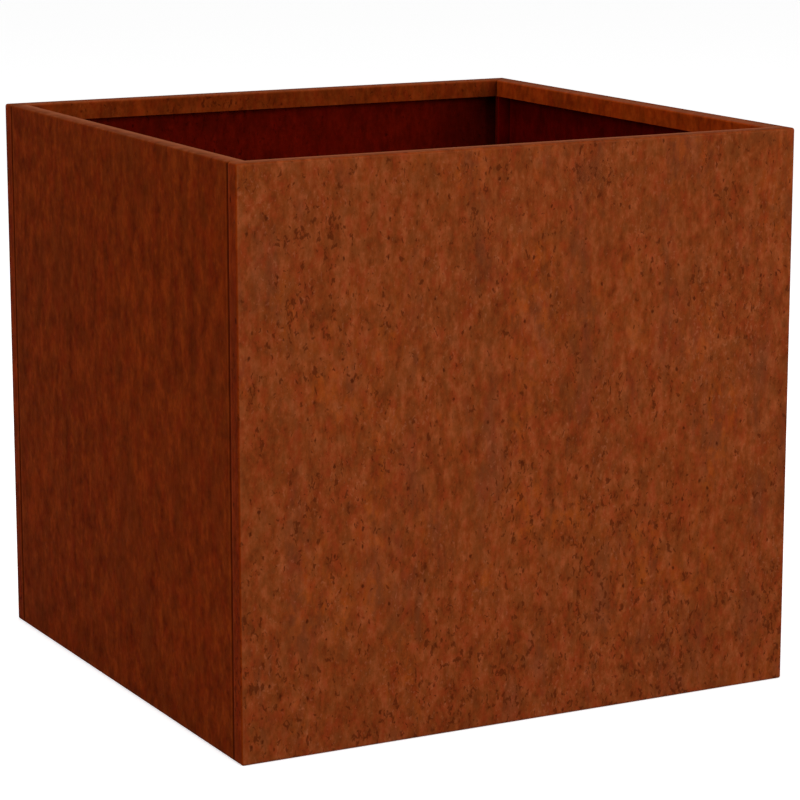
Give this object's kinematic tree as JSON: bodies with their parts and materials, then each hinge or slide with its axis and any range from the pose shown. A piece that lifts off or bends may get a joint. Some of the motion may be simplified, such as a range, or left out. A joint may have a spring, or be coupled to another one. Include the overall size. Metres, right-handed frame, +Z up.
{
  "type": "planter box",
  "caption": "Square weathering steel planter box: folded wall panels screwed together inside the corners, a narrow folded rim, and a floor sheet with drain holes.",
  "frame": {"origin": "centre of the box's footprint, on the ground", "axes": "+X along the longer side, to the right when the front is faced; -Y out of the front; +Z up, out of the open mouth"},
  "size_m": [0.42, 0.4, 0.39],
  "materials": {
    "rust_patina": "dry rust patina, rough and mottled orange brown",
    "zinc_plate": "satin zinc plate"
  },
  "bodies": {
    "root": {"front_panel": "rust_patina", "rear_panel": "rust_patina", "left_panel": "rust_patina", "right_panel": "rust_patina", "floor_panel": "rust_patina", "front_left_screws": "zinc_plate", "front_left_washers": "zinc_plate", "front_left_nuts": "zinc_plate", "front_right_screws": "zinc_plate", "front_right_washers": "zinc_plate", "front_right_nuts": "zinc_plate", "rear_left_screws": "zinc_plate", "rear_left_washers": "zinc_plate", "rear_left_nuts": "zinc_plate", "rear_right_screws": "zinc_plate", "rear_right_washers": "zinc_plate", "rear_right_nuts": "zinc_plate", "floor_screws": "zinc_plate", "floor_washers": "zinc_plate", "floor_nuts": "zinc_plate"}
  },
  "joints": []
}
